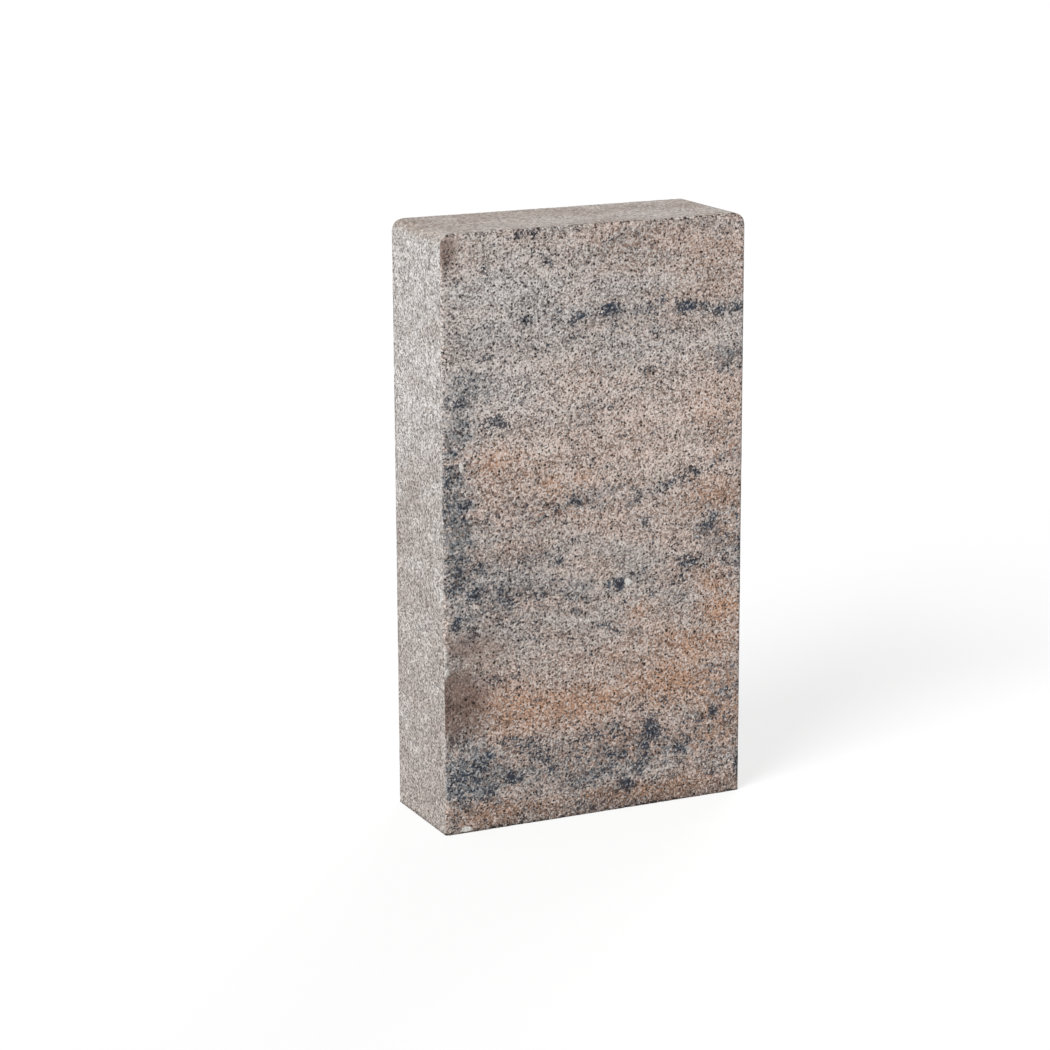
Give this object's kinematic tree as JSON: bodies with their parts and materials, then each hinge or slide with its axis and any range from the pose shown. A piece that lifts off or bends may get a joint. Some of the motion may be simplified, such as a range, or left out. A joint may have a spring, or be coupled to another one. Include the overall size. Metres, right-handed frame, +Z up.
{
  "type": "concrete palisade",
  "caption": "Upright rectangular concrete palisade block with rounded top end edges, set side by side in a footing as garden edging or a low retaining wall.",
  "frame": {"origin": "centre of the foot face, where the block stands on its bed", "axes": "+Z up the block from foot to crown, +X along the broad face, +Y through the thickness from the front broad face to the rear one"},
  "size_m": [0.22, 0.08, 0.4],
  "materials": {
    "concrete": "matte"
  },
  "bodies": {
    "root": {"palisade_block": "concrete"}
  },
  "joints": []
}
